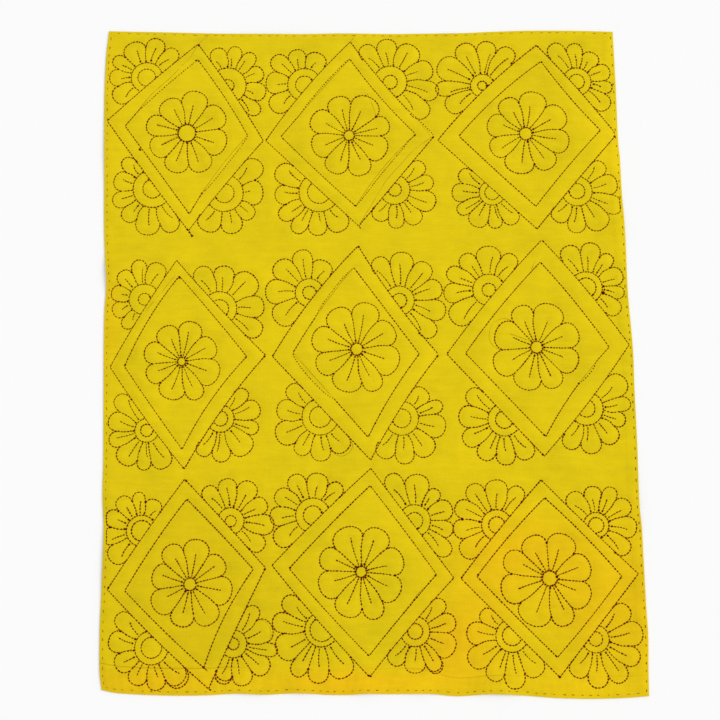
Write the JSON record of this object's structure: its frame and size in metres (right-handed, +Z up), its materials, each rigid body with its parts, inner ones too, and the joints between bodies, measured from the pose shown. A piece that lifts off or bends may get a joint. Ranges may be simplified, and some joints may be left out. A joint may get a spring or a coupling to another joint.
{
  "type": "kantha quilt",
  "caption": "Thin layered cotton quilt laid flat, with running-stitched double diamonds, eight-petal flowers and half flowers raised in its face.",
  "frame": {"origin": "centre of the flat underside, on the surface that the quilt lies on", "axes": "+Z up out of the stitched face, +Y along the longer side towards the top of the design, +X across it to the right"},
  "size_m": [0.8681, 1.0779, 0.0056],
  "materials": {
    "yellow_cotton": "soft washed plain-weave cotton, golden yellow, with dark maroon running stitches"
  },
  "bodies": {
    "root": {"quilt": "yellow_cotton"}
  },
  "joints": []
}
